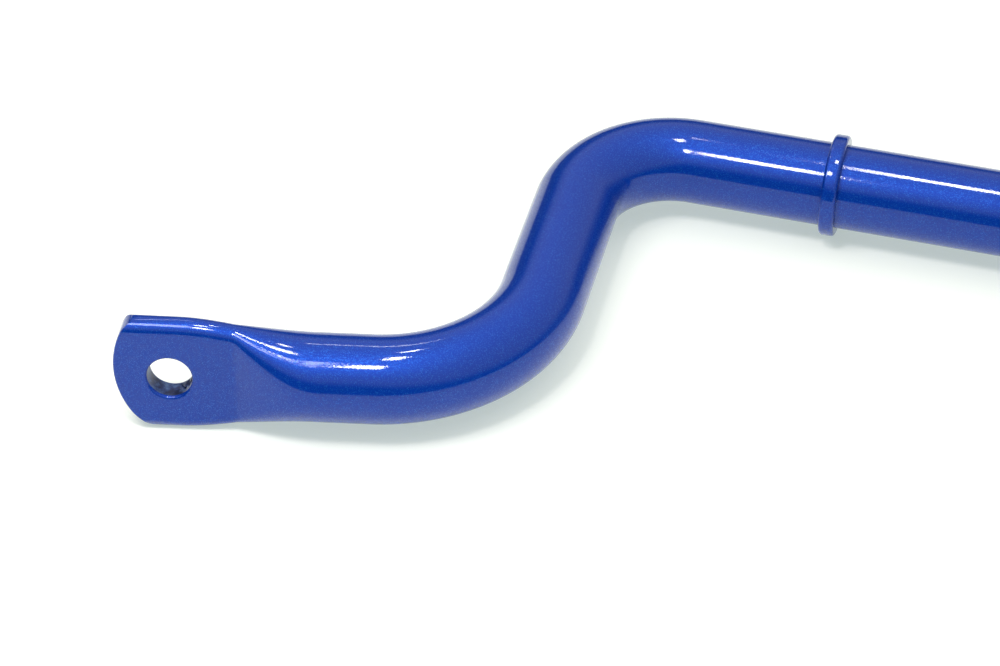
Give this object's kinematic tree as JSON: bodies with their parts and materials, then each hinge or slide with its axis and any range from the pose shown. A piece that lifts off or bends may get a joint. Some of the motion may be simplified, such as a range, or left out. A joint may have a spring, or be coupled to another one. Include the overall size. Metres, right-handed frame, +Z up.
{
  "type": "sway bar",
  "caption": "Hollow tubular anti-roll bar: a straight main bar with a locator ring near each end, S-bent arms and flattened, punched eyes for the drop links.",
  "frame": {"origin": "under the middle of the bounding box, level with the lowest edges of the two eyes", "axes": "+X along the main bar, +Y from the eyes towards the main bar, +Z up from the surface that the eyes stand on"},
  "size_m": [1.0004, 0.1514, 0.0347],
  "materials": {
    "bar_paint": "glossy metallic-flake blue with a clear coat",
    "ring_paint": "glossy metallic-flake blue with a clear coat"
  },
  "bodies": {
    "root": {"bar_tube": "bar_paint", "left_locator_ring": "ring_paint", "right_locator_ring": "ring_paint"}
  },
  "joints": []
}
